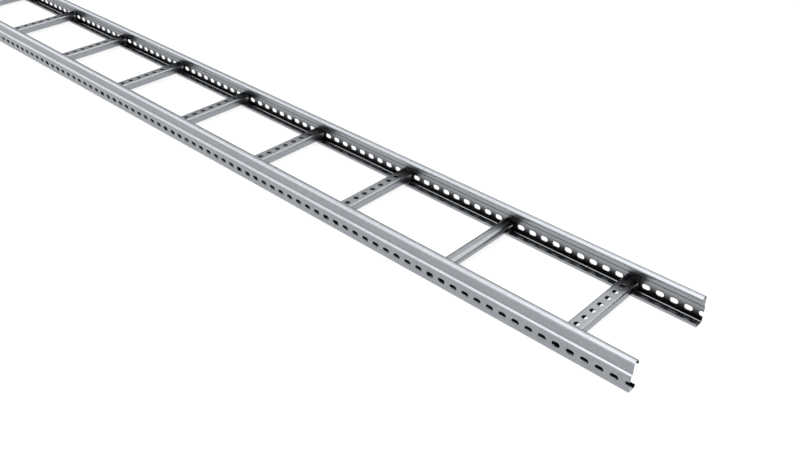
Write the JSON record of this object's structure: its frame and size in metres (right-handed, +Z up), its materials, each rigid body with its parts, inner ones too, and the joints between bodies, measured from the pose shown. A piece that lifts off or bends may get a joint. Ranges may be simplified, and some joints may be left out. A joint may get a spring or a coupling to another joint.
{
  "type": "cable ladder section",
  "caption": "Straight galvanised steel cable ladder section: two slotted side rails of bent sheet joined by perforated, lipped channel rungs that carry cables.",
  "frame": {"origin": "centre of the ladder's footprint, on the level of the undersides of the rails' bottom flanges", "axes": "+X along the ladder towards the end that is in full view in the picture, +Y across it from the near rail to the far rail, +Z up"},
  "size_m": [3, 0.216, 0.0562],
  "materials": {
    "galvanised_steel": "satin zinc coating"
  },
  "bodies": {
    "root": {"side_rail_near": "galvanised_steel", "side_rail_far": "galvanised_steel", "rung_01": "galvanised_steel", "rung_02": "galvanised_steel", "rung_03": "galvanised_steel", "rung_04": "galvanised_steel", "rung_05": "galvanised_steel", "rung_06": "galvanised_steel", "rung_07": "galvanised_steel", "rung_08": "galvanised_steel", "rung_09": "galvanised_steel", "rung_10": "galvanised_steel", "rung_11": "galvanised_steel", "rung_12": "galvanised_steel"}
  },
  "joints": []
}
